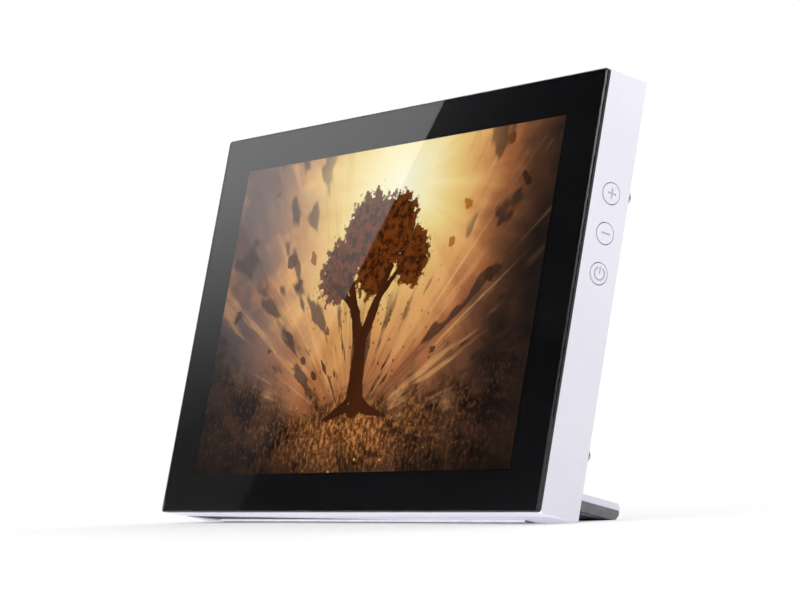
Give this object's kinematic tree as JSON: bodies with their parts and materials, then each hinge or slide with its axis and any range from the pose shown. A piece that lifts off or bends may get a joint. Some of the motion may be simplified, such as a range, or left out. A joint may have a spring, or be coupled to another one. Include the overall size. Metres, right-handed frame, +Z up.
{
  "type": "digital photo frame",
  "caption": "Digital photo frame: black-bordered glass screen in a thin white housing that leans back on a fold-out rear stand, with round side buttons and a plug recess.",
  "frame": {"origin": "on the table, under the middle of the object's overall box", "axes": "+X to the viewer's right along the glass's width, towards the buttons; -Y towards the viewer; +Z up"},
  "size_m": [0.2583, 0.061, 0.1675],
  "materials": {
    "cover_glass": "clear, polished",
    "border_mask": "black ink behind glass",
    "glass_gasket": "matt black",
    "lcd_cell": "lit picture",
    "diffuser_sheet": "milky film",
    "light_guide": "clear acrylic",
    "reflector_sheet": "white film",
    "led_strip": "white board with yellow phosphor",
    "backlight_tray": "plain sheet",
    "chassis_plate": "galvanised sheet",
    "chassis_screws": "zinc plated",
    "main_housing": "fine satin white",
    "rear_cover": "fine satin white",
    "cover_screws": "dark zinc",
    "vesa_inserts": "machined",
    "mainboard": "green solder mask",
    "main_chip": "moulded black",
    "board_components": "mixed parts",
    "board_screws": "zinc plated",
    "display_flex": "amber polyimide",
    "power_inlet": "stamped shell",
    "usb_port": "stamped shell",
    "card_slot": "stamped shell",
    "speakers": "black basket and cone",
    "speaker_leads": "red and black leads",
    "button_board": "green solder mask",
    "button_switches": "black switch bodies",
    "button_cable": "white flat cable",
    "plus_button": "fine satin white",
    "minus_button": "fine satin white",
    "power_button": "fine satin white",
    "plus_switch_stem": "moulded",
    "minus_switch_stem": "moulded",
    "power_switch_stem": "moulded",
    "stand_leaf": "fine satin white",
    "stand_pad": "dark grey, non-slip",
    "hinge_brackets": "stamped",
    "hinge_pins": "ground",
    "hinge_screws": "zinc plated",
    "foot_strip": "light grey, non-slip"
  },
  "bodies": {
    "panel": {"cover_glass": "cover_glass", "border_mask": "border_mask", "glass_gasket": "glass_gasket", "lcd_cell": "lcd_cell", "diffuser_sheet": "diffuser_sheet", "light_guide": "light_guide", "reflector_sheet": "reflector_sheet", "led_strip": "led_strip", "backlight_tray": "backlight_tray", "chassis_plate": "chassis_plate", "chassis_screws": "chassis_screws", "main_housing": "main_housing", "rear_cover": "rear_cover", "cover_screws": "cover_screws", "vesa_inserts": "vesa_inserts", "mainboard": "mainboard", "main_chip": "main_chip", "board_components": "board_components", "board_screws": "board_screws", "display_flex": "display_flex", "power_inlet": "power_inlet", "usb_port": "usb_port", "card_slot": "card_slot", "speakers": "speakers", "speaker_leads": "speaker_leads", "button_board": "button_board", "button_switches": "button_switches", "button_cable": "button_cable", "hinge_brackets": "hinge_brackets", "hinge_screws": "hinge_screws", "foot_strip": "foot_strip"},
    "stand": {"stand_leaf": "stand_leaf", "stand_pad": "stand_pad", "hinge_pins": "hinge_pins"},
    "plus_key": {"plus_button": "plus_button", "plus_switch_stem": "plus_switch_stem"},
    "minus_key": {"minus_button": "minus_button", "minus_switch_stem": "minus_switch_stem"},
    "power_key": {"power_button": "power_button", "power_switch_stem": "power_switch_stem"}
  },
  "joints": [
    {"name": "stand_fold", "type": "hinge", "parent": "panel", "child": "stand", "pos_m": [0, -0.0115, 0.01196], "axis": [1, 0, 0], "range_deg": [0, 90]},
    {"name": "plus_press", "type": "slide", "parent": "panel", "child": "plus_key", "axis": [-1, 0, 0], "range_m": [0, 0.0004], "stiffness_N_per_m": 1500},
    {"name": "minus_press", "type": "slide", "parent": "panel", "child": "minus_key", "axis": [-1, 0, 0], "range_m": [0, 0.0004], "stiffness_N_per_m": 1500},
    {"name": "power_press", "type": "slide", "parent": "panel", "child": "power_key", "axis": [-1, 0, 0], "range_m": [0, 0.0004], "stiffness_N_per_m": 1500}
  ]
}
